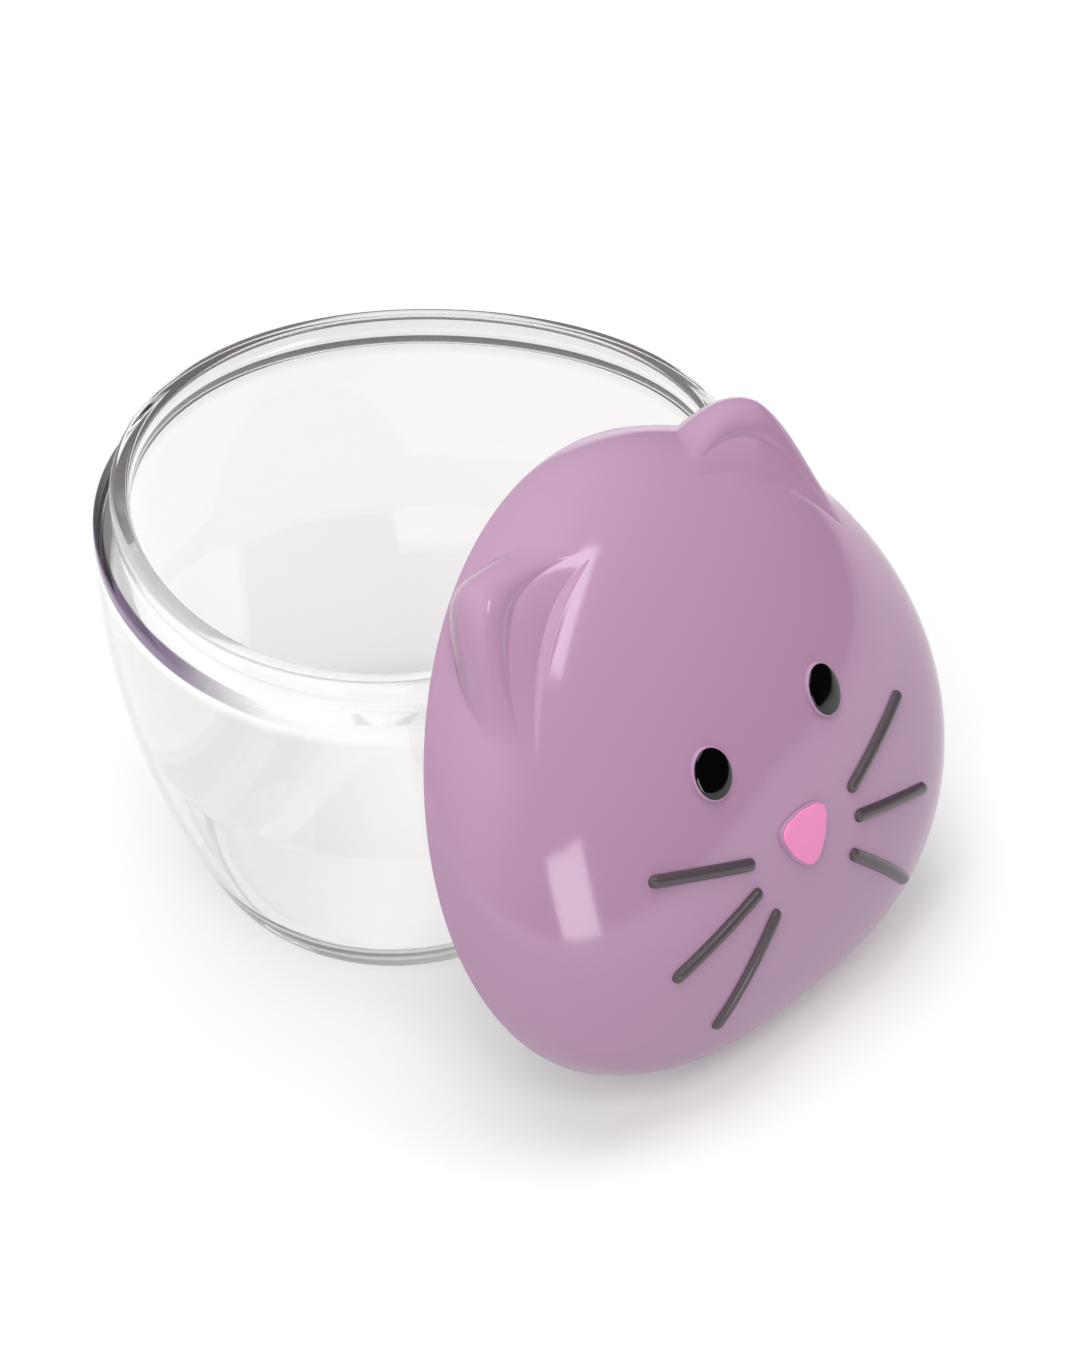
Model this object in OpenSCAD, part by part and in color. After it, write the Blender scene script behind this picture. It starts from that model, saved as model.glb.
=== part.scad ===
// Toddler snack container: a clear pot and a domed cat-face lid that has been taken off
// and leans against the pot's front. Millimetres, +Z up. The origin is the middle of the
// pot's base, on the surface it stands on; the cat's brow is towards +Y, its chin towards -Y.
// Angles around an outline start at the brow. The lid is drawn level, with its rim in the
// plane z = 0, and is then set down leaning on its chin.

/* [Outline] */
// Mean radius of the lid's rim
mean_r = 45; // [42:0.5:50]
// How far the outline swells at both sides and draws in at brow and chin
side_swell = 2.2; // [0:0.1:3.5]
// How far the two cheeks and the brow swell
cheek_swell = 1.95; // [0:0.05:3]
// How far the brow, chin and sides are flattened
flank_draw = 0.3; // [0:0.05:0.6]

/* [Pot] */
// Height of the ledge that the closed lid rests on
ledge_h = 55.4; // [48:0.1:64]
// How far the ledge stands out past the lid's rim
ledge_over = 0.45; // [0:0.05:0.9]
// Height of the neck above the ledge
neck_h = 5.5; // [5:0.1:6.5]
// Mean radius of the base outline
base_r = 29.5; // [26:0.5:34]
// Rounding of the base edge
base_round = 3; // [1.5:0.1:4]
// Rise of the body's curve: lower keeps it wide for longer
body_curve = 0.9; // [0.7:0.01:1.1]
// Wall of the body
pot_wall = 2; // [1.6:0.1:2.6]
// Thickness of the floor
pot_floor = 2.6; // [1.8:0.1:4]
// Thickness of the lip, at the mouth
lip_wall = 2.7; // [1.8:0.1:3]
// Height of the snap flange that runs round the lip
flange_h = 2.8; // [2.4:0.1:3.2]
// Depth of the groove below the flange
groove_d = 0.6; // [0.3:0.05:0.8]
// Rounding of the lip's edges
lip_round = 0.8; // [0.4:0.05:0.9]

/* [Lid] */
// Height of the dome above its rim
dome_h = 22.6; // [19:0.1:27]
// Height of the straight skirt
skirt_h = 1; // [0.6:0.1:2]
// Wall of the lid
lid_wall = 1.7; // [1.3:0.05:1.9]
// Clearance between the skirt and the pot's flange
fit_gap = 0.25; // [0.2:0.05:0.4]
// Fullness of the dome's shoulder
shoulder_exp = 2.59; // [2.2:0.01:3.2]
// Roundness of the dome's crown
crown_exp = 1.9; // [1.8:0.01:2.6]
// Share of the outline's swellings that is lost at the crown; below 0 they grow
round_off = -0.2; // [-0.5:0.01:0.95]
// How far the snap lugs stand in from the skirt
lug_h = 0.5; // [0.3:0.05:0.6]
// Half width of a snap lug, around the rim
lug_half = 15; // [8:1:20]

/* [Ears] */
// Angle of an ear's tip from the middle of the brow
ear_angle = 38.2; // [34:0.1:42]
// Reach of the ear from its tip towards the brow
ear_in = 19; // [16:0.5:22]
// Reach of the ear from its tip towards the cheek
ear_out = 26; // [20:0.5:30]
// How far the ear's tip stands out of the dome
ear_h = 6.1; // [3:0.1:6.5]
// Height above the rim of the crease behind the ear, at its lowest
ear_foot_z = 1.6; // [1.4:0.1:3]
// Height above the rim at which that crease ends
ear_end_z = 12; // [9:0.1:13]
// Height above the rim of the edge between the ear's hollow and the forehead
ear_face_z = 14.6; // [14:0.1:16]
// Share of the way from the crease to the forehead's edge at which the crest lies
crest_share = 0.5; // [0.4:0.01:0.6]
// Share of the way from the crest to the forehead's edge that the rolled rim takes
roll_share = 0.36; // [0.3:0.01:0.5]
// Depth of the hollow's step below the forehead's edge
ear_step = 0.8; // [0.3:0.05:1]

/* [Face] */
// Middle of an eye: sideways from the face's centre line
eye_x = 12.2; // [10:0.1:15]
// Middle of an eye: above the dome's middle
eye_y = 2; // [0:0.1:6]
// Width of an eye
eye_w = 6.3; // [4:0.1:7]
// Height of an eye
eye_len = 7.3; // [5:0.1:9]
// Width of the nose at its top corners
nose_w = 9; // [7:0.1:12]
// Top of the nose, above the dome's middle
nose_top = -10.3; // [-12.5:0.1:-9]
// Height of the nose
nose_len = 8; // [5:0.1:9]
// How far the eye and nose pads stand out of the dome
pad_h = 0.5; // [0.3:0.05:0.9]
// Rim of the pad that shows round an inlay
pad_rim = 0.3; // [0.2:0.05:0.5]
// How far an inlay stands out of its pad
inlay_h = 0.3; // [0.2:0.05:0.6]
// How deep an inlay is keyed into the plastic below it
key_d = 0.4; // [0.3:0.05:0.6]
// Width of a whisker
whisker_w = 1.9; // [1.4:0.1:2.4]
// How far a whisker stands out of the dome
whisker_h = 0.9; // [0.5:0.05:1.2]

/* [Lid at rest] */
// Lean of the dome's axis above the level
lean = 26.8; // [25:0.1:30]
// Gap between the leaning lid's rim and the pot's lip
lean_gap = 0.2; // [0.1:0.05:0.6]
// Gap between the chin and the surface it stands on
rest_gap = 0.05; // [0:0.01:0.1]

/* [Hidden] */

clear_colour = [0.93, 0.94, 0.95, 0.4];
mauve = [0.73, 0.57, 0.70];
black = [0.03, 0.03, 0.03];
pink = [0.97, 0.50, 0.72];
charcoal = [0.31, 0.27, 0.29];

round_steps = 90;      // points around an outline
crown_rows = 7;        // rows from the forehead's edge to the crown
cavity_rows = 12;      // rows inside the dome
body_rows = 12;        // rows up the pot's body
rim_round = 0.3;       // rounding of the lid's rim
ledge_round = 0.4;     // rounding of the ledge's edge
draft = 0.6;           // how much narrower the mouth's wall is at its foot
floor_round = 5;       // rounding between the wall and the floor inside
halvings = 22;         // steps of each search that halves an interval
ear_foot_angle = 35;   // angle at which the crease behind an ear is lowest
ear_taper = 1.5;       // how the ear narrows from its tip to its ends
ear_point = 2.2;       // how pointed its tip is
step_share = 0.16;     // share of the ear's front that its step takes
lug_angles = [0, 125, 180, 235];
// Each whisker runs from its inner end to its outer end, left of the face's centre line.
whisker_ends = [[[10.4, -12.8], [27.4, -6.4]],
                [[10.4, -16.8], [27.7, -21.4]],
                [[8.0, -21.1], [21.2, -32.3]]];

// Outline of the head: a circle with two, three and four gentle swellings around it.
// The swellings fade as w goes from the rim (0) to the crown (1).
function swell(t) = -side_swell*cos(2*t) + cheek_swell*cos(3*t) - flank_draw*cos(4*t);
function outline_r(t, w = 0) = mean_r + swell(t)*(1 - round_off*w*w);
function at_angle(t, r, z) = [-r*sin(t), r*cos(t), z];
function ring(radii, z) = [for (i = [0:round_steps - 1]) at_angle(360*i/round_steps, radii[i], z)];
function every(f) = [for (i = [0:round_steps - 1]) f(360*i/round_steps)];

// A closed skin over a stack of rings, with its two ends closed on a middle point each.
module skin(rings, first_mid, last_mid) {
    n = len(rings[0]);
    rows = len(rings);
    points = concat([for (each_ring = rings) each each_ring], [first_mid, last_mid]);
    sides = [for (k = [0:rows - 2], i = [0:n - 1])
        let (a = k*n + i, b = k*n + (i + 1)%n)
        each [[a, a + n, b + n], [a, b + n, b]]];
    first_cap = [for (i = [0:n - 1]) [rows*n, i, (i + 1)%n]];
    last_cap = [for (i = [0:n - 1]) [rows*n + 1, (rows - 1)*n + (i + 1)%n, (rows - 1)*n + i]];
    polyhedron(points = points, faces = concat(sides, first_cap, last_cap), convexity = 10);
}

// ---- Pot ----

neck_inset = lid_wall + fit_gap;
lip_z = ledge_h + neck_h;
flange_z = lip_z - flange_h;
base_share = base_r/(mean_r + ledge_over);

function body_share(z) = base_share
    + (1 - base_share)*pow(max(0, 1 - pow(1 - min(z, ledge_h)/ledge_h, 2)), body_curve);
// How far a rounded edge of radius r is drawn in, at height z above its foot.
function edge_in(z, r) = z >= r ? 0 : r - sqrt(r*r - pow(r - z, 2));
function body_r(t, z) = (outline_r(t) + ledge_over)*body_share(z) - edge_in(z, base_round);
function neck_r(t, inset) = outline_r(t) - neck_inset - inset;
// The inner wall drops from the mouth with a little draft, then follows the body's wall.
function mouth_r(t, z) = neck_r(t, lip_wall) - draft*(lip_z - z)/lip_z;
function inside_r(t, z) = min(mouth_r(t, z), body_r(t, max(z, base_round)) - pot_wall)
    - edge_in(z - pot_floor, floor_round);

module pot() {
    body_zs = [for (k = [1:body_rows]) base_round
        + (ledge_h - ledge_round - base_round)*k/body_rows];
    corner_zs = [for (a = [0, 25, 50, 75]) base_round*(1 - cos(a))];
    outer = [for (z = concat(corner_zs, body_zs)) ring(every(function (t) body_r(t, z)), z)];
    ledge = [ring(every(function (t) body_r(t, ledge_h) - ledge_round), ledge_h),
             ring(every(function (t) neck_r(t, groove_d)), ledge_h)];
    neck = [ring(every(function (t) neck_r(t, groove_d)), flange_z - groove_d),
            ring(every(function (t) neck_r(t, 0)), flange_z)];
    lip_out = [for (a = [0, 30, 60, 90]) ring(every(function (t)
        neck_r(t, lip_round*(1 - cos(a)))), lip_z - lip_round*(1 - sin(a)))];
    lip_in = [for (a = [90, 60, 30, 0]) ring(every(function (t)
        neck_r(t, lip_wall - lip_round*(1 - cos(a)))), lip_z - lip_round*(1 - sin(a)))];
    inner_top = lip_z - 2*lip_round;
    inner_foot = pot_floor + floor_round;
    inner_zs = [for (k = [0:body_rows]) inner_top + (inner_foot - inner_top)*k/body_rows];
    floor_zs = [for (a = [70, 50, 30, 0]) pot_floor + floor_round*(1 - cos(a))];
    inner = [for (z = concat(inner_zs, floor_zs)) ring(every(function (t) inside_r(t, z)), z)];
    color(clear_colour)
        skin(concat(outer, ledge, neck, lip_out, lip_in, inner), [0, 0, 0], [0, 0, pot_floor]);
}

// ---- Lid ----

function shrink(w) = pow(1 - pow(w, shoulder_exp), 1/crown_exp);
function dome_z(w) = skirt_h + w*(dome_h - skirt_h);
function plain_dome(t, w) = at_angle(t, outline_r(t, w)*shrink(w), dome_z(w));
function from_brow(t) = t > 180 ? 360 - t : t;
function unit(v) = v/norm(v);

// An ear lies between two lines on the dome: an arched crease behind it, lowest near the
// ear's tip, and the level edge of the forehead. Its crest runs between them.
function ear_along(t) = let (a = from_brow(t) - ear_angle)
    min(1, abs(a < 0 ? a/ear_in : a/ear_out));
function crease_z(t) = let (
    a = from_brow(t) - ear_foot_angle, shift = ear_angle - ear_foot_angle,
    reach = a < 0 ? ear_in - shift : ear_out + shift)
    ear_foot_z + (ear_end_z - ear_foot_z)*min(1, pow(abs(a)/reach, 1.6));
function crest_z(t) = crease_z(t) + crest_share*(ear_face_z - crease_z(t));
// Across the ear v runs from -1 at the crease over 0 at the crest to 1 at the forehead.
function ear_v(t, z) = let (crest = crest_z(t))
    z < crest ? max(-1, (z - crest)/(crest - crease_z(t))) : min(1, (z - crest)/(ear_face_z - crest));
// Behind the crest an arch; in front a roll, then a hollow that slopes down to the step.
function ear_across(v) = v < 0 ? 1 - v*v
    : 0.5*pow(1 - pow(min(1, v/roll_share), 2), 0.8) + 0.5*(1 - pow(v, 1.3));
function ear_dip(v) = v > 1 - step_share ? 0.5 - 0.5*cos(180*(1 - v)/step_share)
    : max(0, (v - roll_share)/(1 - step_share - roll_share));
function ear_rise(t, w) = let (fade = 1 - pow(ear_along(t), ear_taper)) fade == 0 ? 0 :
    let (v = ear_v(t, dome_z(w))) ear_h*pow(fade, ear_point)*ear_across(v) - ear_step*fade*ear_dip(v);
function dome_normal(t, w) = let (near = min(w, 0.97))
    unit(cross(plain_dome(t + 0.5, near) - plain_dome(t - 0.5, near),
               plain_dome(t, near + 0.01) - plain_dome(t, max(0, near - 0.01))));
function dome_point(t, w) = let (rise = ear_rise(t, w))
    rise == 0 ? plain_dome(t, w) : plain_dome(t, w) + rise*dome_normal(t, w);

// Rows over the dome follow the ear's lines: skirt, crease, crest, forehead's edge, crown.
function dome_w(z) = (z - skirt_h)/(dome_h - skirt_h);
function even(n) = [for (k = [0:n - 1]) k/n];
front_shares = concat([for (s = even(3)) roll_share*s],
                      [for (s = even(3)) roll_share + (1 - step_share - roll_share)*s],
                      [for (s = even(2)) 1 - step_share + step_share*s]);
function outer_shares(t) = let (
    crease = dome_w(crease_z(t)), crest = dome_w(crest_z(t)), brow = dome_w(ear_face_z))
    concat([for (s = even(4)) crease*s], [for (s = even(6)) crease + (crest - crease)*s],
           [for (s = front_shares) crest + (brow - crest)*s],
           [for (s = even(crown_rows)) sin(asin(brow) + (90 - asin(brow))*s)]);

// Snap lugs stand in from the skirt and click below the pot's flange.
lug_z = neck_h - flange_h - groove_d - lug_h;
function lug_window(t) = max([for (a = lug_angles)
    let (q = min(abs(t - a), abs(t - a - 360), abs(t - a + 360))/lug_half)
    q >= 1 ? 0 : pow(cos(90*q), 0.5)]);
function lug_in(t, z) = lug_h*lug_window(t)*max(0, 1 - abs(z - lug_z)/(2*lug_h));
function cavity_w(z) = min(1, max(0, (z - skirt_h)/(dome_h - lid_wall - skirt_h)));
function cavity_r(t, z) = let (w = cavity_w(z))
    outline_r(t, w)*shrink(w) - lid_wall - lug_in(t, z) + max(0, rim_round - z);

// Height of the dome above a place on the face, found by halving the interval.
function find_w(t, r, low, high, step) = step == 0 ? (low + high)/2 :
    let (w = (low + high)/2)
    outline_r(t, w)*shrink(w) > r ? find_w(t, r, w, high, step - 1) : find_w(t, r, low, w, step - 1);
function face_w(p) = find_w(atan2(-p.x, p.y), norm(p), 0, 1, halvings);
function face_point(p, rise = 0) = [p.x, p.y, dome_z(face_w(p)) + rise];
function face_normal(p) = dome_normal((360 + atan2(-p.x, p.y))%360, face_w(p));

module shell() {
    rim = [ring(every(function (t) cavity_r(t, 0)), 0),
           ring(every(function (t) outline_r(t) - rim_round), 0),
           ring(every(function (t) outline_r(t)), rim_round)];
    shares = every(function (t) outer_shares(t));
    outer = [for (k = [0:len(shares[0]) - 1])
        [for (i = [0:round_steps - 1]) dome_point(360*i/round_steps, shares[i][k])]];
    crown_z = dome_h - lid_wall;
    lug_top = lug_z + 2*lug_h;
    dome_zs = [for (k = [0:cavity_rows - 1])
        skirt_h + sin(82*(1 - k/cavity_rows))*(crown_z - skirt_h)];
    cavity_zs = concat([for (z = dome_zs) if (z > lug_top + rim_round) z],
                       [lug_top, lug_z, rim_round]);
    cavity = [for (z = cavity_zs) ring(every(function (t) cavity_r(t, z)), z)];
    skin(concat(cavity, rim, outer), [0, 0, crown_z], [0, 0, dome_h]);
}

// A pad or inlay on the face: outline is a function of the angle around its middle.
// It follows the dome at one height below and another above, with a rounded top edge.
module face_plate(mid, outline, low, high, edge) {
    steps = 36;
    angles = [for (i = [0:steps - 1]) 360*i/steps];
    function around(share, inset) = [for (a = angles) let (p = outline(a))
        mid + p*share*(1 - inset/norm(p))];
    bottom = [for (s = [0.5, 1]) [for (p = around(s, 0)) face_point(p, low)]];
    top = concat([[for (p = around(1, 0)) face_point(p, high - edge)]],
                 [[for (p = around(1, 0.3*edge)) face_point(p, high - 0.3*edge)]],
                 [for (s = [1, 0.5]) [for (p = around(s, edge)) face_point(p, high)]]);
    skin(concat(bottom, top), face_point(mid, low), face_point(mid, high));
}

function oval(w, h) = function (a) [w/2*cos(a), h/2*sin(a)];
// A rounded triangle that points to the chin, drawn around its own middle.
function nose_outline(grow) = function (a)
    let (swing = 1 + 0.13*cos(3*(a + 90)) + 0.03*cos(6*(a + 90)))
    [(0.475*nose_w + grow)*swing*cos(a), (0.485*nose_len + grow)*swing*sin(a)];
nose_mid = [0, nose_top - 0.44*nose_len];
inlay_edge = 0.25;        // rounding of an inlay's top edge

function side_sign(side) = side == "left" ? -1 : 1;

module eye_pad(side) {
    face_plate([side_sign(side)*eye_x, eye_y], oval(eye_w + 2*pad_rim, eye_len + 2*pad_rim),
               -key_d, pad_h, 0.2);
}

module eye_inlay(side) {
    face_plate([side_sign(side)*eye_x, eye_y], oval(eye_w, eye_len),
               pad_h - key_d, pad_h + inlay_h, inlay_edge);
}

module nose_inlay() {
    face_plate(nose_mid, nose_outline(0), pad_h - key_d, pad_h + inlay_h, inlay_edge);
}

// A whisker is a bar with a half-round top, laid along the dome between two places.
module whisker_bar(side, which) {
    steps = 10;
    section = [for (a = [180:-22.5:0]) [whisker_w/2*cos(a), whisker_h*sin(a)]];
    foot = [[whisker_w/2, -key_d], [-whisker_w/2, -key_d]];
    from = whisker_ends[which][0];
    to = whisker_ends[which][1];
    run = unit(to - from);
    length = norm(to - from);
    // Rows crowd at the ends, where the bar narrows in a half circle.
    shares = [for (k = [0:steps]) (1 - cos(180*k/steps))/2];
    function narrow(share) = let (d = min(share, 1 - share)*length + 0.08)
        d >= whisker_w/2 ? 1 : sqrt(1 - pow(1 - d/(whisker_w/2), 2));
    function place(share) = let (p = from + share*length*run)
        [side_sign(side)*p.x, p.y];
    rings = [for (share = shares)
        let (p = place(share), next = place(min(1, share + 0.01)), last = place(max(0, share - 0.01)),
             along = unit(face_point(next) - face_point(last)), up = face_normal(p),
             across = cross(along, up), size = narrow(share))
        [for (q = concat(foot, section)) face_point(p) + across*q.x*size
            + up*(q.y > 0 ? q.y*size : q.y)]];
    mid_first = (rings[0][0] + rings[0][6])/2;
    mid_last = (rings[steps][0] + rings[steps][6])/2;
    skin(rings, mid_first, mid_last);
}

// The lid is set down on its chin and leans back until its rim is lean_gap from the
// pot's lip. Room is measured at places on the lip, seen from the lid: inside the rim
// to the skirt's inner wall, and in front of the rim to the rim's plane.
rest_h = outline_r(180)*cos(lean) - rim_round*sin(lean) + rest_gap;
function room(p, out) = let (
    back = p.y + out, up = p.z - rest_h,
    y = back*sin(lean) + up*cos(lean), depth = up*sin(lean) - back*cos(lean))
    max(cavity_r((360 + atan2(-p.x, y))%360, max(0, depth)) - norm([p.x, y]), -depth);
function lip_room(out) = min([for (t = [90:0.5:180], a = [0, 30, 60, 90])
    room(at_angle(t, neck_r(t, lip_round*(1 - cos(a))), lip_z - lip_round*(1 - sin(a))), out)]);
function find_forward(near, far, step) = step == 0 ? far :
    let (half_way = (near + far)/2)
    lip_room(half_way) < lean_gap ? find_forward(half_way, far, step - 1)
                                  : find_forward(near, half_way, step - 1);
forward = find_forward(mean_r/2, 2*mean_r, halvings);
module at_rest() {
    translate([0, -forward, rest_h]) rotate([90 - lean, 0, 0]) children();
}

module lid_shell() {
    color(mauve) at_rest() difference() {
        union() {
            shell();
            eye_pad("left");
            eye_pad("right");
            face_plate(nose_mid, nose_outline(pad_rim), -key_d, pad_h, 0.2);
        }
        eye_inlay("left");
        eye_inlay("right");
        nose_inlay();
        for (side = ["left", "right"], which = [0:2]) whisker_bar(side, which);
    }
}

module eye(side) { color(black) at_rest() eye_inlay(side); }
module nose() { color(pink) at_rest() nose_inlay(); }
module whisker(side, which) { color(charcoal) at_rest() whisker_bar(side, which); }

pot();
lid_shell();
eye("left");  // eye_left
eye("right");  // eye_right
nose();
whisker("left", 0);  // whisker_left_upper
whisker("left", 1);  // whisker_left_middle
whisker("left", 2);  // whisker_left_lower
whisker("right", 0);  // whisker_right_upper
whisker("right", 1);  // whisker_right_middle
whisker("right", 2);  // whisker_right_lower
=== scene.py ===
import math

import bpy
import numpy as np
from mathutils import Matrix, Vector


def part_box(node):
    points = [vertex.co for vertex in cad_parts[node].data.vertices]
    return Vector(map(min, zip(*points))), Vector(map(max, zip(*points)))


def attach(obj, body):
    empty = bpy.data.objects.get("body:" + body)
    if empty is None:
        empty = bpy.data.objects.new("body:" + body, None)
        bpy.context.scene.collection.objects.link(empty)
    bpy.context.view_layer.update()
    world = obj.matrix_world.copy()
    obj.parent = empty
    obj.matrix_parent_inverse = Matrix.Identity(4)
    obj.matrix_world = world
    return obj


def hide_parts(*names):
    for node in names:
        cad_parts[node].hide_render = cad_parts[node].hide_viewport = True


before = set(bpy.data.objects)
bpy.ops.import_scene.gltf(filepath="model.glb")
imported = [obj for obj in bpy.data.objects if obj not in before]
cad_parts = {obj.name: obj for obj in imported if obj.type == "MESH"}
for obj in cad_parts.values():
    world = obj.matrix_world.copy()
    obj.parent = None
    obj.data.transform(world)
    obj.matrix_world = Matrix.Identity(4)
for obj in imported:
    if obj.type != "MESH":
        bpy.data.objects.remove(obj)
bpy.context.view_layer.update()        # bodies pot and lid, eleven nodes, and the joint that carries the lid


# ---- Pot ---------------------------------------------------------------------------------
# One moulding of clear, polished plastic. Its plan is a soft three-sided round, wide at the
# mouth and drawn in to a flat base; the lid's rim seats on the ledge, and the lugs inside
# the lid click under the flange that runs round the neck.

MM = 0.001
around = np.linspace(0, 2*np.pi, 288, endpoint=False)      # angles from the brow, over -X

mean_r, side_swell, cheek_swell, flank_draw = 45.0, 2.2, 1.95, 0.3
ledge_h, ledge_over, ledge_round = 55.4, 0.45, 0.4
lid_wall, fit_gap = 1.7, 0.25
neck_h, groove_d, flange_h, flange_edge = 5.5, 0.6, 2.8, 0.15
groove_round, slant_round = 0.3, 0.1
lip_wall, lip_round, draft = 2.7, 0.8, 0.6
base_r, base_round, body_curve = 29.5, 3.0, 0.9
pot_wall, pot_floor, floor_round = 2.0, 2.6, 5.0
body_rows, inside_rows = 60, 70
neck_inset = lid_wall + fit_gap
lip_z = ledge_h + neck_h
flange_z = lip_z - flange_h
base_share = base_r/(mean_r + ledge_over)


def swell(t):
    """How far the outline stands out of a circle: two, three and four gentle waves around it."""
    return -side_swell*np.cos(2*t) + cheek_swell*np.cos(3*t) - flank_draw*np.cos(4*t)


def edge_in(height, radius):
    """How far a rounded edge is drawn in, at a height above its foot: a quarter circle."""
    short = np.clip(radius - height, 0, radius)
    return radius - np.sqrt(radius**2 - short**2)


def body_r(t, z):
    """Outer radius of the body: the ledge's outline, shrunk towards the base by a power of a
    parabola in z, so that the side is upright at the ledge, and drawn in at the base's edge."""
    rise = 1 - (1 - np.minimum(z, ledge_h)/ledge_h)**2
    share = base_share + (1 - base_share)*np.maximum(0, rise)**body_curve
    return (mean_r + ledge_over + swell(t))*share - edge_in(z, base_round)


def neck_r(t, inset):
    """Radius of the neck: the rim's outline, less the lid's wall and its clearance, less an
    inset."""
    return mean_r + swell(t) - neck_inset - inset


def inside_r(t, z):
    """Inner radius: the mouth's wall with a little draft, or the body's wall where that is
    narrower, drawn in at the foot by the rounding between wall and floor."""
    mouth = neck_r(t, lip_wall) - draft*(lip_z - z)/lip_z
    body = body_r(t, np.maximum(z, base_round)) - pot_wall
    return np.minimum(mouth, body) - edge_in(z - pot_floor, floor_round)


def row(radius, z):
    """One ring of points around the axis, from its radius at each angle and its height."""
    z = np.broadcast_to(z, around.shape)
    return np.stack([-radius*np.sin(around), radius*np.cos(around), z], axis=-1)


def skin(name, rings, first_mid, last_mid):
    """A closed mesh through a stack of rings: quads between neighbours, and a fan of
    triangles from each end ring to its middle point."""
    rings = np.asarray(rings, float)
    rows, n = rings.shape[:2]
    points = np.concatenate([rings.reshape(-1, 3), [first_mid, last_mid]])*MM
    i = np.arange(n)
    j = (i + 1) % n
    k = np.arange(rows - 1)[:, None]*n
    quads = np.stack([k + i, k + j, k + n + j, k + n + i], axis=-1).reshape(-1, 4)
    first = np.stack([np.full(n, rows*n), j, i], axis=-1)
    last = np.stack([np.full(n, rows*n + 1), (rows - 1)*n + i, (rows - 1)*n + j], axis=-1)
    mesh = bpy.data.meshes.new(name)
    mesh.from_pydata(points.tolist(), [], quads.tolist() + first.tolist() + last.tolist())
    mesh.shade_smooth()
    mesh.set_sharp_from_angle(angle=math.radians(50))
    mesh.validate()
    piece = bpy.data.objects.new(name, mesh)
    bpy.context.scene.collection.objects.link(piece)
    return piece


def pot_rings():
    """The pot's section as rings: under the base, up the body, over the ledge, the groove,
    the flange and the lip, and down the inside to the middle of the floor. Rounded edges
    are quarter circles."""
    quarter = np.radians(np.linspace(0, 90, 9))
    foot = body_r(around, 0.0)
    rings = [row(foot*share, 0.0) for share in (0.12, 0.3, 0.5, 0.7, 0.85, 0.95)]
    rings += [row(body_r(around, z), z) for z in base_round*(1 - np.cos(quarter))]
    body_top = ledge_h - ledge_round
    rings += [row(body_r(around, z), z) for z in np.linspace(base_round, body_top, body_rows + 1)[1:]]
    edge = body_r(around, body_top)
    rings += [row(edge - ledge_round*(1 - math.cos(a)), body_top + ledge_round*math.sin(a))
              for a in quarter[1::2]]
    groove_top = flange_z - groove_d
    rings += [row(neck_r(around, inset), z) for inset, z in (
        (groove_d - groove_round, ledge_h), (groove_d, ledge_h + groove_round),
        (groove_d, groove_top - slant_round), (groove_d - slant_round, groove_top + slant_round/2),
        (flange_edge, flange_z - flange_edge), (flange_edge/5, flange_z), (0.0, flange_z + flange_edge))]
    lip_foot = lip_z - lip_round
    rings += [row(neck_r(around, 0.0), z) for z in np.linspace(flange_z + flange_edge, lip_foot, 5)[1:]]
    rings += [row(neck_r(around, lip_round*(1 - math.cos(a))), lip_foot + lip_round*math.sin(a))
              for a in quarter[1:]]
    rings += [row(neck_r(around, lip_wall - lip_round*(1 - math.cos(a))), lip_foot + lip_round*math.sin(a))
              for a in quarter[::-1]]
    inner_foot = pot_floor + floor_round
    inside_zs = np.linspace(lip_foot - lip_round/2, inner_foot, inside_rows)
    rings += [row(inside_r(around, z), z) for z in inside_zs]
    rings += [row(inside_r(around, z), z) for z in pot_floor + floor_round*(1 - np.sin(quarter[1:]))]
    flat = inside_r(around, pot_floor)
    rings += [row(flat*share, pot_floor) for share in (0.93, 0.8, 0.6, 0.4, 0.2)]
    return rings


class Wires:
    """Makes the nodes of one tree and wires them to each other."""

    def __init__(self, tree):
        self.nodes, self.links = tree.nodes, tree.links

    def feed(self, inputs, sources):
        """Gives each input, by name or number, its source: another node's output or a constant."""
        for key, source in sources.items():
            if isinstance(source, bpy.types.NodeSocket):
                self.links.new(source, inputs[key])
            else:
                inputs[key].default_value = source

    def add(self, kind, sources=None, **settings):
        """Makes a node of a kind with its settings, feeds it, and returns its outputs."""
        made = self.nodes.new("ShaderNode" + kind)
        for name, value in settings.items():
            setattr(made, name, value)
        self.feed(made.inputs, sources or {})
        return made.outputs

    def calculate(self, operation, *values):
        """What a Math node's operation makes of values."""
        return self.add("Math", dict(enumerate(values)), operation=operation)[0]

    def product(self, first, *others):
        """All the values multiplied."""
        for other in others:
            first = self.calculate("MULTIPLY", first, other)
        return first

    def largest(self, first, *others):
        """The largest of the values."""
        for other in others:
            first = self.calculate("MAXIMUM", first, other)
        return first

    def measure(self, operation, *vectors, output="Value"):
        """What a Vector Math node's operation makes of vectors, such as their dot product."""
        return self.add("VectorMath", dict(enumerate(vectors)), operation=operation)[output]

    def noise(self, place, scale, detail):
        """A value that drifts between 0 and 1 from place to place."""
        return self.add("TexNoise", {"Vector": place, "Scale": scale, "Detail": detail})["Fac"]

    def ramp(self, source, low, high, start=0.0, end=1.0):
        """A smooth step of a value, from one amount at low to another at high."""
        sources = {"Value": source, "From Min": low, "From Max": high, "To Min": start, "To Max": end}
        return self.add("MapRange", sources, interpolation_type="SMOOTHSTEP")["Result"]

    def blend(self, factor, first, second):
        """A colour that goes from one to another as the factor goes from 0 to 1."""
        return self.add("Mix", {"Factor": factor, 6: first, 7: second}, data_type="RGBA")[2]


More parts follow.
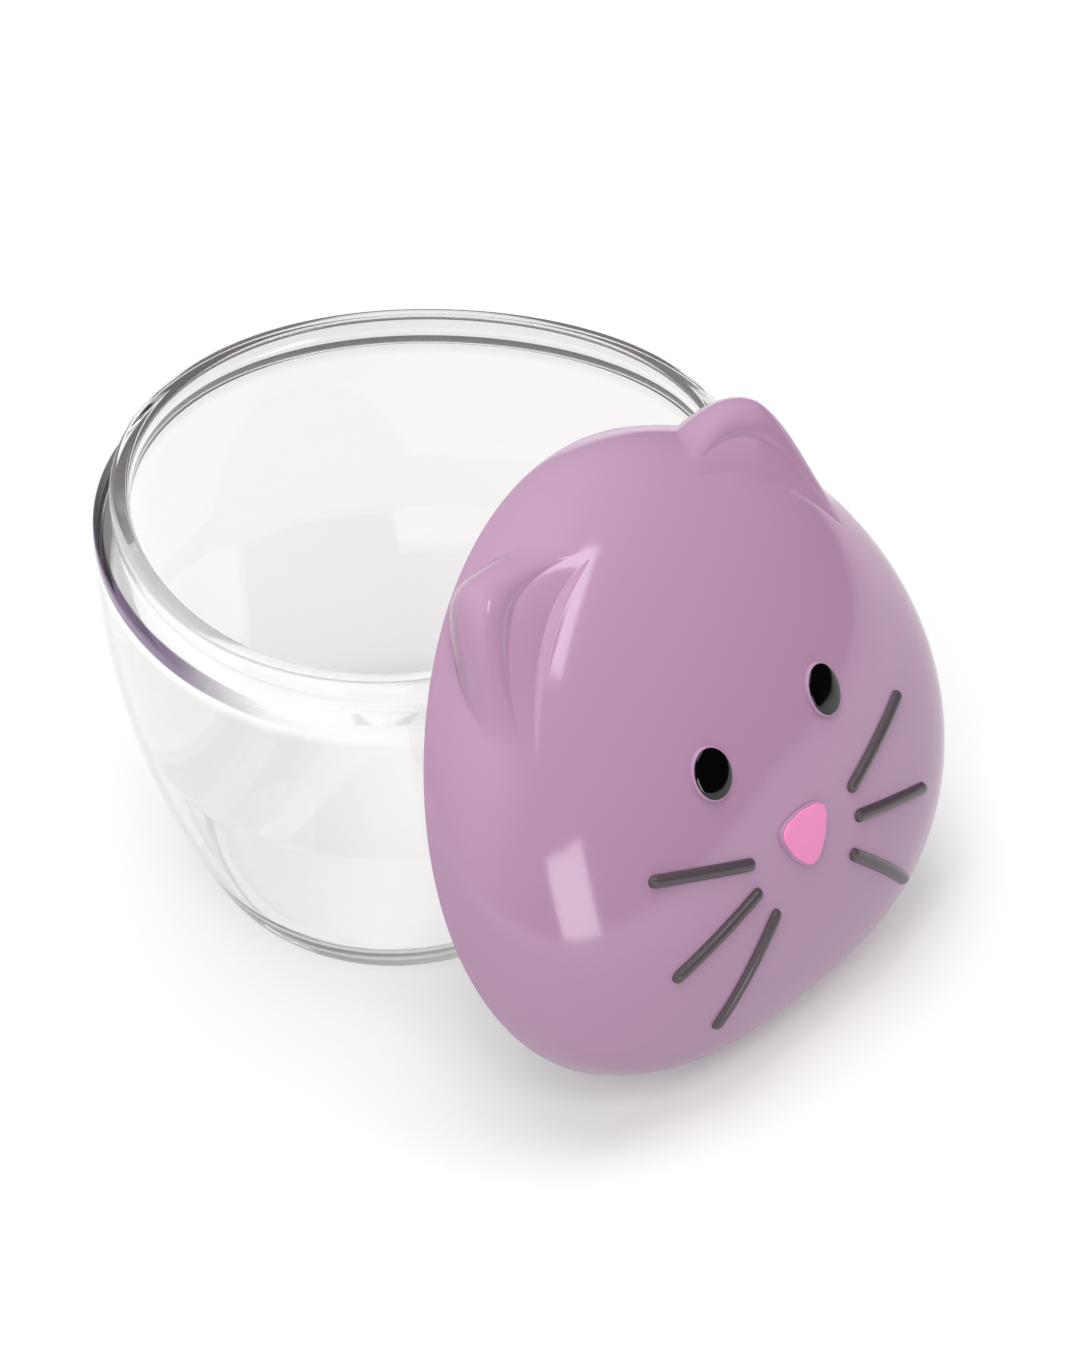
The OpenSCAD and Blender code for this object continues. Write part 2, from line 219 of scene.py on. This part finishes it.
def new_material(name):
    """A material with nodes, their wires, and its Principled shader."""
    material = bpy.data.materials.new(name)
    material.use_nodes = True
    return material, Wires(material.node_tree), material.node_tree.nodes["Principled BSDF"]


clear_ior, caught_depth = 1.49, 4.5
left_side, far_side = (-0.85, 0.53, 0), (0.78, 0.63, 0)      # directions, seen from above
violet_shade_middle, violet_shade_r = (4.9*MM, -6.4*MM, 0), 50.9*MM        # circle inside the painted dark violet shade at the ledge's edge
# The plastic's own colour is the faint clear tint; the side grey, the dark violet on the ledge, the inner
# and neck greys and the near and far greys are painted shade.
clear_tint, painted_side_shade, painted_violet_shade = (0.97, 0.965, 0.96, 1), (0.42, 0.41, 0.41, 1), (0.05, 0.025, 0.07, 1)
painted_inner_shade, painted_neck_shade = (0.79, 0.78, 0.77, 1), (0.60, 0.59, 0.59, 1)
matt_dim, near_painted_shade, far_painted_shade = (0.84, 0.835, 0.83, 1), (0.66, 0.65, 0.66, 1), (0.19, 0.18, 0.175, 1)


def clear_plastic():
    """Clear polished plastic: full transmission with a faint grey tint and a slow drift in
    gloss. Where it is looked at, shade is painted into its colour: the inside is greyer than
    the outside, most of all at the back of the neck, the body greys towards its left and
    where it turns away, and the ledge has a dark violet crescent of painted shade round the
    brow's left. Its foot is soft, greyed with painted shade. Light that would be caught
    between the walls leaves straight through them, greyed with painted shade once where it
    grazes them, most of all at the back, and light on its way to a matt surface passes straight through as
    well."""
    material, wires, glass = new_material("clear_plastic")
    ramp, blend, measure = wires.ramp, wires.blend, wires.measure
    place, path = wires.add("TexCoord")["Object"], wires.add("LightPath")
    seen = path["Is Camera Ray"]
    turned = wires.add("Fresnel", {"IOR": clear_ior})[0]

    flat = measure("MULTIPLY", place, (1, 1, 0), output="Vector")
    height = measure("DOT_PRODUCT", place, (0, 0, 1))
    leftwards, backwards = measure("DOT_PRODUCT", place, left_side), measure("DOT_PRODUCT", place, far_side)
    outwards = measure("DOT_PRODUCT", flat, wires.add("NewGeometry")["Normal"])
    inward = ramp(outwards, -5*MM, 10*MM, 1.0, 0.0)
    above_ledge = ramp(height, (ledge_h - 1)*MM, (ledge_h + 1)*MM)
    below_ledge = ramp(height, (ledge_h - 4)*MM, (ledge_h - 2)*MM, 1.0, 0.0)
    at_ledge = ramp(height, (ledge_h - 1.9)*MM, (ledge_h - 1.5)*MM)
    at_edge = ramp(measure("DISTANCE", flat, violet_shade_middle), violet_shade_r, violet_shade_r + 0.3*MM)

    # Painted shade for seen rays: grey inside and at the back of the neck, grey on the body towards its left
    # and where it turns away, and a dark violet crescent on the ledge's left.
    neck_back = wires.product(above_ledge, ramp(backwards, 0.0, 20*MM))
    # Painted shade: the body below the ledge greys towards its left and where it turns away.
    side = wires.largest(ramp(leftwards, 10*MM, 34*MM, 0.0, 0.6), ramp(turned, 0.15, 0.50))
    outside = blend(wires.product(below_ledge, side, seen), clear_tint, painted_side_shade)
    tint_and_painted_shade = blend(wires.product(inward, seen), outside, blend(neck_back, painted_inner_shade, painted_neck_shade))
    # Painted shade: a dark violet crescent on the ledge's edge, round the brow's left, for seen rays only.
    violet_shade_mask = wires.product(ramp(leftwards, 29*MM, 42*MM), at_edge, at_ledge, seen)
    wires.feed(glass.inputs, {
        "Base Color": blend(violet_shade_mask, tint_and_painted_shade, painted_violet_shade),
        "Roughness": ramp(wires.noise(place, scale=35.0, detail=2.0), 0.3, 0.7, 0.005, 0.03),
        "IOR": clear_ior,
        "Transmission Weight": 1.0})

    # Painted shade: light caught between the walls comes out grey, darker towards the back.
    painted_caught_shade = blend(ramp(backwards, 10*MM, 25*MM), near_painted_shade, far_painted_shade)
    crossed = ramp(path["Transparent Depth"], 0.4, 0.6)
    undimmed = wires.largest(crossed, ramp(turned, 0.2, 0.9, 1.0, 0.0))
    caught = wires.calculate("GREATER_THAN", path["Ray Depth"], caught_depth)
    passing = blend(caught, matt_dim, blend(undimmed, painted_caught_shade, (1, 1, 1, 1)))
    # Painted shade at the foot: seen light partly passes straight through there, greyed as light on its way
    # to a matt surface is.
    foot = wires.product(ramp(height, 3*MM, 9*MM, 0.7, 0.0), seen)
    straight = wires.largest(path["Is Shadow Ray"], path["Is Diffuse Ray"], caught, foot)
    through = wires.add("BsdfTransparent", {"Color": passing})["BSDF"]
    surface = wires.add("MixShader", {"Fac": straight, 1: glass.outputs["BSDF"], 2: through})["Shader"]
    wires.feed(wires.nodes["Material Output"].inputs, {"Surface": surface})
    return material


pot = skin("pot_clear", pot_rings(), (0, 0, 0), (0, 0, pot_floor))
pot.data.materials.append(clear_plastic())
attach(pot, "pot")
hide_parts("pot")


# ---- Lid shell ---------------------------------------------------------------------------
# One moulding of opaque, glossy mauve plastic: a domed cat's head with two ears, hollow
# behind, with a short straight skirt at the rim and four lugs inside it. Low pads stand
# out of the dome under the eyes and the nose.

dome_h, skirt_h, rim_round = 22.6, 1.0, 0.3
shoulder_exp, crown_exp, round_off = 2.59, 1.9, -0.2
ear_angle, ear_foot_angle, ear_in, ear_out, ear_h = 38.2, 35.0, 19.0, 26.0, 6.1
ear_foot_z, ear_end_z, ear_face_z, crest_share = 1.6, 12.0, 14.6, 0.5
ear_taper, ear_point, roll_share, ear_step, step_share = 1.5, 2.2, 0.36, 0.8, 0.16
lug_h, lug_half, lug_angles = 0.5, 15.0, (0, 125, 180, 235)
lug_z = neck_h - flange_h - groove_d - lug_h
lean = math.radians(26.8)
pad_h, pad_rim, plate_edge, inlay_h, key_d = 0.5, 0.3, 0.2, 0.3, 0.4
hollow_top = dome_h - lid_wall
hollow_rows, lug_rows, ear_rows, crown_rows = 60, 9, (14, 28, 20, 18, 10), 50


def dome_r(t, w):
    """Radius of the dome at an angle and a share w of its height: the rim's outline, whose
    swellings fade towards the crown, times a superellipse."""
    fading = mean_r + swell(t)*(1 - round_off*w*w)
    return fading*np.maximum(0, 1 - w**shoulder_exp)**(1/crown_exp)


def plain_dome(t, w):
    """A point of the dome without its ears: its radius at an angle, at a share of its height."""
    r = dome_r(t, w)
    return np.stack([-r*np.sin(t), r*np.cos(t), skirt_h + w*(dome_h - skirt_h) + 0*t], axis=-1)


def unit(v):
    """Vectors divided by their lengths."""
    return v/np.linalg.norm(v, axis=-1, keepdims=True)


def dome_normal(t, w):
    """Outward normal of the plain dome, from the cross product of its two slopes."""
    near, dt, dw = np.minimum(w, 0.97), math.radians(0.5), 0.01
    across = plain_dome(t + dt, near) - plain_dome(t - dt, near)
    up = plain_dome(t, near + dw) - plain_dome(t, np.maximum(0, near - dw))
    return unit(np.cross(across, up))


def ear_lines(t):
    """Where an angle lies along an ear, from 0 at its tip to 1 at both its ends, and the
    heights there of the crease behind the ear, an arch with its lowest point near the tip,
    and of the crest, part of the way from the crease to the forehead's edge."""
    from_brow = np.degrees(np.minimum(t % (2*np.pi), -t % (2*np.pi)))
    along = np.abs(from_brow - ear_angle)/np.where(from_brow < ear_angle, ear_in, ear_out)
    from_foot, shift = from_brow - ear_foot_angle, ear_angle - ear_foot_angle
    arch = np.abs(from_foot)/np.where(from_foot < 0, ear_in - shift, ear_out + shift)
    crease = ear_foot_z + (ear_end_z - ear_foot_z)*np.minimum(1, arch**1.6)
    return np.minimum(1, along), crease, crease + crest_share*(ear_face_z - crease)


def ear_rise(t, w):
    """How far the ears stand out of the dome. Behind the crest a parabola arches over from
    the crease; in front, a roll falls like an ellipse into a hollow, which slopes down to a
    small step under the forehead's edge."""
    along, crease, crest = ear_lines(t)
    z = skirt_h + w*(dome_h - skirt_h)
    v = np.clip((z - crest)/np.where(z < crest, crest - crease, ear_face_z - crest), -1, 1)
    front = np.maximum(v, 0)
    roll = (1 - np.minimum(1, front/roll_share)**2)**0.8
    across = np.where(v < 0, 1 - v*v, 0.5*roll + 0.5*(1 - front**1.3))
    to_edge = np.maximum(0, front - roll_share)/(1 - step_share - roll_share)
    step = np.where(front > 1 - step_share, 0.5 - 0.5*np.cos(np.pi*(1 - front)/step_share), to_edge)
    fade = 1 - along**ear_taper
    return ear_h*fade**ear_point*across - ear_step*fade*step


def dome_point(t, w):
    """A point of the dome with its ears: the plain dome, pushed out along its normal."""
    return plain_dome(t, w) + ear_rise(t, w)[..., None]*dome_normal(t, w)


def cavity_r(t, z):
    """Inner radius of the lid at a height: the dome less the wall, less the lugs, which are
    half waves around the rim and small ridges across it."""
    w = np.clip((z - skirt_h)/(hollow_top - skirt_h), 0, 1)
    lugs = 0*t
    for angle in np.radians(lug_angles):
        apart = np.abs((t - angle + np.pi) % (2*np.pi) - np.pi)/math.radians(lug_half)
        lugs = np.maximum(lugs, np.sqrt(np.maximum(0, np.cos(np.minimum(apart, 1)*np.pi/2))))
    ridge = np.maximum(0, 1 - np.abs(z - lug_z)/(2*lug_h))
    return dome_r(t, w) - lid_wall - lug_h*lugs*ridge


def lid_rings():
    """The lid's section as rings: from the middle of the hollow down to the rim, round the
    rim and up over the dome and its ears to the crown."""
    dome_zs = skirt_h + np.sin(np.radians(np.linspace(88, 6, hollow_rows)))*(hollow_top - skirt_h)
    lug_zs = lug_z + lug_h*np.linspace(2, -2, lug_rows)
    zs = np.concatenate([dome_zs[dome_zs > lug_zs[0] + 0.1], lug_zs, [rim_round]])
    rings = [row(cavity_r(around, z), z) for z in zs]
    quarter = np.radians(np.linspace(0, 90, 5))
    rim = mean_r + swell(around)
    rings += [row(rim - lid_wall + rim_round*(1 - math.cos(a)), rim_round*(1 - math.sin(a)))
              for a in quarter[1:]]
    rings += [row(rim - rim_round*(1 - math.sin(a)), rim_round*(1 - math.cos(a))) for a in quarter]
    _, crease, crest = ear_lines(around)
    marks = (skirt_h + 0*crease, crease, crest, crest + roll_share*(ear_face_z - crest),
             crest + (1 - step_share)*(ear_face_z - crest), ear_face_z + 0*crease)
    lines = [(mark - skirt_h)/(dome_h - skirt_h) for mark in marks]
    for low, high, rows in zip(lines, lines[1:], ear_rows):
        rings += [dome_point(around, low + (high - low)*k/rows) for k in range(rows)]
    brow = np.arcsin(lines[-1])
    rings += [dome_point(around, np.sin(brow + (np.pi/2 - brow)*k/crown_rows)) for k in range(crown_rows)]
    return rings


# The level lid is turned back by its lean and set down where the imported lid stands.
turn = np.array([[1, 0, 0], [0, math.sin(lean), -math.cos(lean)], [0, math.cos(lean), math.sin(lean)]])
shell_rings = np.array(lid_rings())
shell_low = (shell_rings.reshape(-1, 3) @ turn.T).min(axis=0)
stand = np.array([0, *(np.array(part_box("lid_shell")[0])/MM - shell_low)[1:]])


def lean_back(points):
    """Points of the level lid, moved to where the lid leans."""
    return np.asarray(points, float) @ turn.T + stand


def moulded_surface():
    """Group for moulded opaque plastic: a slow drift in shade, a drift in gloss, and the
    faint pebble that a polished mould leaves. Takes a colour, puts out colour, roughness
    and height."""
    group = bpy.data.node_groups.new("moulded_surface", "ShaderNodeTree")
    put = group.interface.new_socket
    put("Colour", in_out="INPUT", socket_type="NodeSocketColor")
    for name, value in (("Shade Drift", 0.04), ("Gloss", 0.12), ("Gloss Drift", 0.05)):
        put(name, in_out="INPUT", socket_type="NodeSocketFloat").default_value = value
    put("Colour", in_out="OUTPUT", socket_type="NodeSocketColor")
    put("Roughness", in_out="OUTPUT", socket_type="NodeSocketFloat")
    put("Height", in_out="OUTPUT", socket_type="NodeSocketFloat")
    wires = Wires(group)
    given, out = group.nodes.new("NodeGroupInput").outputs, group.nodes.new("NodeGroupOutput").inputs
    place = wires.add("TexCoord")["Object"]
    slow, pebble = wires.noise(place, scale=28.0, detail=3.0), wires.noise(place, scale=900.0, detail=2.0)
    centred = wires.calculate("SUBTRACT", slow, 0.5)
    shade = wires.calculate("MULTIPLY_ADD", centred, given["Shade Drift"], 1.0)
    tinted = wires.add("VectorMath", {0: given["Colour"], "Scale": shade}, operation="SCALE")["Vector"]
    rough = wires.calculate("MULTIPLY_ADD", centred, given["Gloss Drift"], given["Gloss"])
    wires.feed(out, {"Colour": tinted, "Roughness": rough, "Height": pebble})
    return group


moulded = moulded_surface()
pebble_depth = 0.02*MM


def opaque_plastic(name, colour, gloss, pebble):
    """Opaque moulded plastic in one colour, with the moulded surface's drifts and pebble."""
    material, wires, shader = new_material(name)
    surface = wires.add("Group", {"Colour": (*colour, 1), "Gloss": gloss}, node_tree=moulded)
    bump = wires.add("Bump", {"Height": surface["Height"], "Strength": pebble, "Distance": pebble_depth})
    wires.feed(shader.inputs, {
        "Base Color": surface["Colour"],
        "Roughness": surface["Roughness"],
        "Normal": bump["Normal"],
        "IOR": 1.5})
    return material


def share_at(x, y):
    """The share w at which the dome passes over a place on the face, found by halving."""
    t, r = np.arctan2(-x, y), np.hypot(x, y)
    low, high = 0*r, 0*r + 1
    for _ in range(30):
        middle = (low + high)/2
        outside = dome_r(t, middle) > r
        low, high = np.where(outside, middle, low), np.where(outside, high, middle)
    return (low + high)/2


def on_face(x, y, rise=0.0):
    """A point at a height over the dome, above a place on the face."""
    x, y = np.asarray(x, float), np.asarray(y, float)
    return np.stack([x, y, skirt_h + share_at(x, y)*(dome_h - skirt_h) + rise], axis=-1)


def plate_rings(outline, middle, profile):
    """A plate on the face as rings: each (share, inset, height) of the profile is the
    outline scaled by the share and drawn in by the inset, at that height over the dome."""
    length = np.linalg.norm(outline, axis=-1, keepdims=True)
    rings = []
    for share, inset, height in profile:
        place = middle + outline*share*(1 - inset/length)
        rings.append(on_face(place[:, 0], place[:, 1], height))
    return rings


plate_turn = np.linspace(0, 2*np.pi, 120, endpoint=False)


def oval(width, height):
    """An upright ellipse: a cosine across and a sine up the face."""
    return np.stack([width/2*np.cos(plate_turn), height/2*np.sin(plate_turn)], axis=-1)


def rounded_edge(low, high, edge, steps=6):
    """Profile of a plate: a flat underside, an upright side, and a quarter-round edge."""
    quarter = np.radians(np.linspace(0, 90, steps))
    side = [(0.5, 0, low), (1, 0, low), (1, 0, (low + high)/2)]
    side += [(1, edge*(1 - math.cos(a)), high - edge*(1 - math.sin(a))) for a in quarter]
    return side + [(share, edge, high) for share in (0.8, 0.5, 0.25)]


def plate(name, outline, middle, profile):
    """A plate on the face, as a closed mesh, leaning with the lid."""
    rings = [lean_back(r) for r in plate_rings(outline, np.array(middle), profile)]
    mids = [lean_back(on_face(middle[0], middle[1], profile[k][2])) for k in (0, -1)]
    return skin(name, rings, mids[0], mids[1])


eye_x, eye_y, eye_w, eye_len = 12.2, 2.0, 6.3, 7.3
nose_w, nose_top, nose_len = 9.0, -10.3, 8.0
nose_middle = (0, nose_top - 0.44*nose_len)


def nose_outline(grow):
    """A rounded triangle that points to the chin: an ellipse whose radius swings three times."""
    down = plate_turn + np.pi/2
    swing = 1 + 0.13*np.cos(3*down) + 0.03*np.cos(6*down)
    half = np.array([0.475*nose_w + grow, 0.485*nose_len + grow])
    return half*swing[:, None]*np.stack([np.cos(plate_turn), np.sin(plate_turn)], axis=-1)


def join(first, *others):
    """Joins closed meshes into one piece."""
    with bpy.context.temp_override(active_object=first, selected_editable_objects=[first, *others]):
        bpy.ops.object.join()
    return first


mauve = opaque_plastic("mauve_plastic", colour=(0.50, 0.29, 0.45), gloss=0.10, pebble=0.25)
shell_mids = [lean_back((0, 0, z)) for z in (hollow_top, dome_h)]
shell = skin("lid_dome", [lean_back(r) for r in shell_rings], *shell_mids)
pad_profile = rounded_edge(-key_d, pad_h, plate_edge)
pads = [plate("pad", oval(eye_w + 2*pad_rim, eye_len + 2*pad_rim), (side*eye_x, eye_y), pad_profile)
        for side in (-1, 1)]
pads.append(plate("pad", nose_outline(pad_rim), nose_middle, pad_profile))
shell = join(shell, *pads)
shell.data.materials.append(mauve)
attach(shell, "lid")
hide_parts("lid_shell")


# ---- Eyes and nose -----------------------------------------------------------------------
# The two eyes are glossy black ovals, crowned like a drop, and the nose is a flat pink
# rounded triangle. Each is a second shot of plastic that stands a little out of its pad.

eye_crown = 0.1
black = opaque_plastic("black_plastic", colour=(0.001, 0.001, 0.001), gloss=0.06, pebble=0.1)
pink = opaque_plastic("pink_plastic", colour=(1.0, 0.29, 0.60), gloss=0.22, pebble=0.2)


def crowned(low, foot, top, steps=14):
    """Profile of a crowned plate: an upright side, and a top that rises as a superellipse."""
    shares = np.cos(np.radians(np.linspace(0, 84, steps)))
    rise = np.sqrt(1 - shares**3.2)
    return [(0.5, 0, low), (1, 0, low)] + [(s, 0, foot + (top - foot)*r) for s, r in zip(shares, rise)]


for side, label in ((-1, "left"), (1, "right")):
    eye = plate("eye_" + label + "_gloss", oval(eye_w, eye_len), (side*eye_x, eye_y),
                crowned(pad_h - key_d, pad_h, pad_h + inlay_h + eye_crown))
    eye.data.materials.append(black)
    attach(eye, "lid")
    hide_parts("eye_" + label)

nose_profile = rounded_edge(pad_h - key_d, pad_h + inlay_h, plate_edge)
nose = plate("nose_gloss", nose_outline(0), nose_middle, nose_profile)
nose.data.materials.append(pink)
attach(nose, "lid")
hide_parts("nose")


# ---- Whiskers ----------------------------------------------------------------------------
# Six charcoal bars with round backs and round ends, three fanned out on each cheek, laid
# into the dome as a second shot and standing out of it.

whisker_w, whisker_h, blunt_end = 1.9, 0.9, 0.02
whisker_ends = {"upper": ((10.4, -12.8), (27.4, -6.4)),
                "middle": ((10.4, -16.8), (27.7, -21.4)),
                "lower": ((8.0, -21.1), (21.2, -32.3))}
charcoal = opaque_plastic("charcoal_plastic", colour=(0.085, 0.065, 0.075), gloss=0.28, pebble=0.3)


def whisker_rings(side, start, end):
    """A bar along the dome as rings: at each place a half ellipse over a keyed foot, square
    to the bar's run and to the dome, narrowed at both ends by a circle's half width."""
    start, end = np.array([side*start[0], start[1]]), np.array([side*end[0], end[1]])
    length = np.linalg.norm(end - start)
    shares = (1 - np.cos(np.linspace(0, np.pi, 60)))/2
    place = start + shares[:, None]*(end - start)
    middle = on_face(place[:, 0], place[:, 1])
    t = np.arctan2(-place[:, 0], place[:, 1]) % (2*np.pi)
    up = dome_normal(t, share_at(place[:, 0], place[:, 1]))
    along = unit(np.gradient(middle, axis=0))
    across = np.cross(along, up)
    from_end = np.minimum(shares, 1 - shares)*length + blunt_end
    narrow = np.sqrt(1 - np.clip(1 - from_end/(whisker_w/2), 0, 1)**2)
    bend = np.linspace(np.pi, 0, 17)
    section = np.concatenate([[[whisker_w/2, -key_d], [-whisker_w/2, -key_d]],
                              np.stack([whisker_w/2*np.cos(bend), whisker_h*np.sin(bend)], axis=-1)])
    wide = section[None, :, :1]*narrow[:, None, None]*across[:, None]
    tall = np.where(section[:, 1] > 0, section[:, 1]*narrow[:, None], section[:, 1])[..., None]*up[:, None]
    return middle[:, None] + wide + tall


for side, label in ((-1, "left"), (1, "right")):
    for level, (start, end) in whisker_ends.items():
        rings = lean_back(whisker_rings(side, start, end))
        mids = rings.mean(axis=1)
        whisker = skin("whisker_" + label + "_" + level + "_bar", rings, mids[0], mids[-1])
        whisker.data.materials.append(charcoal)
        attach(whisker, "lid")
        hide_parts("whisker_" + label + "_" + level)


# ---- Floor, light and camera -------------------------------------------------------------
# A seamless white table under a white tent: even light from everywhere, three large lamps
# above, and two small window lamps that draw the highlights on the dome.

target = Vector((10.95, -13.44, 27.76))*MM
view_turn, view_rise, view_distance = math.radians(-50.84), math.radians(37.08), 1.6
focal_px, image_h, sensor_h = 11478.5, 1350, 36.0
back = Vector((math.sin(view_turn)*math.cos(view_rise), -math.cos(view_turn)*math.cos(view_rise),
               math.sin(view_rise)))
camera = bpy.data.objects.new("camera", bpy.data.cameras.new("camera"))
camera.data.lens = focal_px*sensor_h/image_h
camera.data.sensor_width = sensor_h
camera.data.clip_end = 20
camera.location = target + back*view_distance
camera.rotation_euler = (-back).to_track_quat("-Z", "Y").to_euler()
bpy.context.scene.collection.objects.link(camera)
bpy.context.scene.camera = camera


table_white, lamps_reach, table_far = (0.74, 0.74, 0.74, 1), 140*MM, 380*MM


def white_floor(size, glow, glow_far, painted_caustic_glow):
    """The table: a matt white sheet, and a glow for the rays that are seen, so that it is
    white where nothing shades it. The glow is stronger away from the lamps, and through the
    clear plastic it is painted light, in place of the light that the plastic gathers below itself."""
    mesh = bpy.data.meshes.new("floor")
    low = -0.1*MM            # a hair below the pot's base, so that the two faces never mix
    mesh.from_pydata([(-size, -size, low), (size, -size, low), (size, size, low), (-size, size, low)],
                     [], [(0, 1, 2, 3)])
    floor = bpy.data.objects.new("floor", mesh)
    bpy.context.scene.collection.objects.link(floor)
    material, wires, shader = new_material("white_table")
    path, reach = wires.add("LightPath"), wires.measure("LENGTH", wires.add("TexCoord")["Object"])
    seen = wires.largest(path["Is Camera Ray"], path["Is Transmission Ray"], path["Is Glossy Ray"])
    outwards = wires.ramp(reach, lamps_reach, table_far, glow, glow_far)
    # Painted light: seen through the clear plastic, the table glows a little more.
    painted_caustic = wires.product(path["Is Transmission Ray"], painted_caustic_glow)
    wires.feed(shader.inputs, {
        "Base Color": table_white,
        "Roughness": 0.9,
        "Specular IOR Level": 0.1,
        "Emission Color": (1, 1, 1, 1),
        "Emission Strength": wires.calculate("MULTIPLY_ADD", seen, outwards, painted_caustic)})
    mesh.materials.append(material)


def tent_world(level, dark, open_side):
    """The tent: even white light at a level, and plain white to the camera. Mirrored and
    bent rays tell its walls apart: they are white, and fall off to a dark level towards the
    side where the tent is open for the camera."""
    world = bpy.data.worlds.new("tent")
    world.use_nodes = True
    bpy.context.scene.world = world
    wires = Wires(world.node_tree)
    path = wires.add("LightPath")
    turned = wires.largest(path["Is Glossy Ray"], path["Is Transmission Ray"])
    seen = wires.largest(path["Is Camera Ray"], turned)
    even = wires.calculate("MULTIPLY_ADD", seen, 1.0 - level, level)
    opened = Vector(open_side).normalized()
    toward = wires.measure("DOT_PRODUCT", wires.add("TexCoord")["Generated"], opened)
    walls = wires.ramp(toward, -0.75, 0.35, 1.0, dark)
    strength = wires.add("Mix", {"Factor": turned, "A": even, "B": walls})["Result"]
    wires.feed(wires.nodes["Background"].inputs, {"Color": (1, 1, 1, 1), "Strength": strength})


dome_middle = Vector((0, -50, 40))*MM


def lamp(name, toward, distance, width, height, watts, up_hint=(0, 0, 1), glossy=True, diffuse=True):
    """A rectangular lamp in a direction from the dome's middle, facing it. Its width and
    height are shares of its distance."""
    light = bpy.data.lights.new(name, "AREA")
    light.shape = "RECTANGLE"
    light.size, light.size_y = width*distance, height*distance
    light.energy = watts
    holder = bpy.data.objects.new(name, light)
    out = Vector(toward).normalized()
    right = Vector(up_hint).cross(out).normalized()
    turned = Matrix((right, out.cross(right), out)).transposed().to_4x4()
    holder.matrix_world = Matrix.Translation(dome_middle + out*distance) @ turned
    holder.visible_camera = False
    holder.visible_glossy = holder.visible_transmission = glossy
    holder.visible_diffuse = diffuse
    bpy.context.scene.collection.objects.link(holder)


# The table's extra glow through the clear plastic is painted light.
white_floor(size=3.0, glow=0.25, glow_far=0.48, painted_caustic_glow=0.04)
tent_world(level=0.23, dark=0.02, open_side=(0.62, -0.75, -0.15))
lamp("overhead", (0.0, 0.20, 1.0), distance=1.3, width=0.7, height=0.7, watts=11.0, glossy=False)
lamp("front_left", (-0.75, -0.45, 0.95), distance=1.3, width=0.6, height=0.6, watts=8.3, glossy=False)
lamp("right_wall", (1.0, -0.45, 0.9), distance=1.5, width=0.9, height=0.9, watts=3.0, glossy=False)
lamp("strip_window", (0.10, -0.49, 0.84), distance=1.0, width=0.17, height=0.56, watts=1.7,
     up_hint=(0.38, 0.29, 0.11), diffuse=False)
lamp("square_window", (-0.28, -0.92, 0.14), distance=1.0, width=0.32, height=0.37, watts=2.1,
     diffuse=False)

bpy.context.scene.view_settings.view_transform = "Standard"
